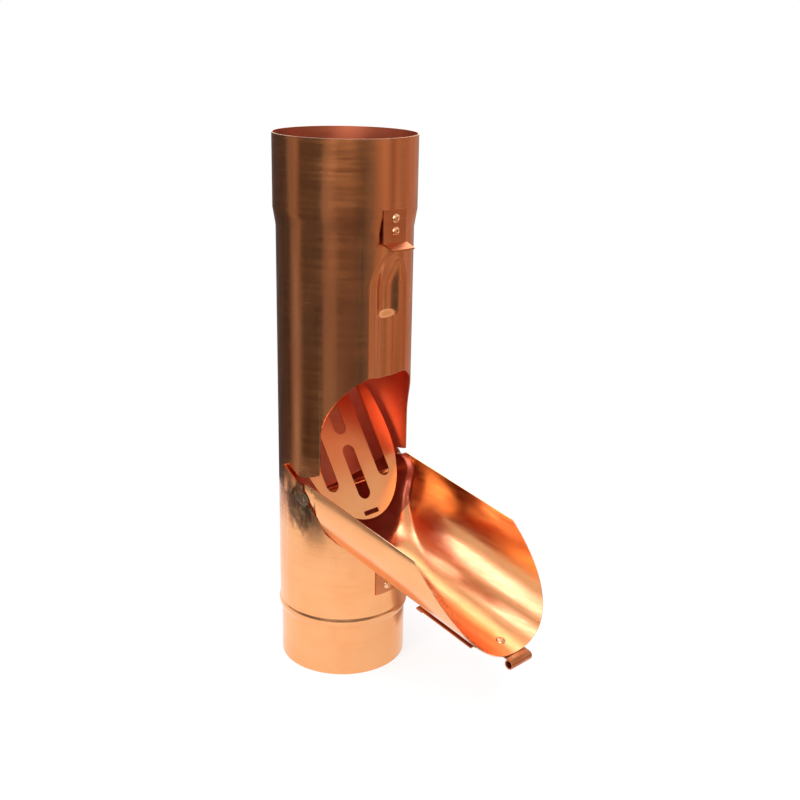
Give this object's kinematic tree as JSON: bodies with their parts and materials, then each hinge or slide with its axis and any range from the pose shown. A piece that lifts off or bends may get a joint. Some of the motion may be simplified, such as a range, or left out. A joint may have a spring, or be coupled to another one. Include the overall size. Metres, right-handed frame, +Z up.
{
  "type": "downpipe rainwater diverter",
  "caption": "Round downpipe section with a hinged half-round flap that swings down past a fixed slotted leaf sieve to divert rainwater.",
  "frame": {"origin": "centre of the spigot's lower rim", "axes": "+Z up along the pipe's axis, -Y towards the flap, X along the hinge rod"},
  "size_m": [0.1032, 0.2342, 0.4],
  "materials": {
    "copper_sheet": "bare polished copper sheet",
    "copper_flap": "bright bare copper sheet",
    "copper_sieve": "bare copper sheet",
    "copper_plate": "bare copper sheet, slightly toned",
    "copper_strap": "darker toned copper strip",
    "copper_fittings": "pale bare copper",
    "solder": "dull soft solder"
  },
  "bodies": {
    "pipe_body": {"pipe": "copper_sheet", "hinge_rod": "copper_fittings", "hinge_solder": "solder", "leaf_sieve": "copper_sieve", "sieve_rivets": "copper_fittings", "upper_latch_plate": "copper_plate", "upper_latch_rivets": "copper_fittings", "lower_stop_plate": "copper_plate", "lower_stop_rivets": "copper_fittings"},
    "flap_body": {"flap": "copper_flap", "latch_strap": "copper_strap", "strap_rivet": "copper_fittings"}
  },
  "joints": [
    {"name": "flap_hinge", "type": "hinge", "parent": "pipe_body", "child": "flap_body", "pos_m": [0, -0.0095, 0.1408], "axis": [-1, 0, 0], "range_deg": [0, 100.4]}
  ]
}
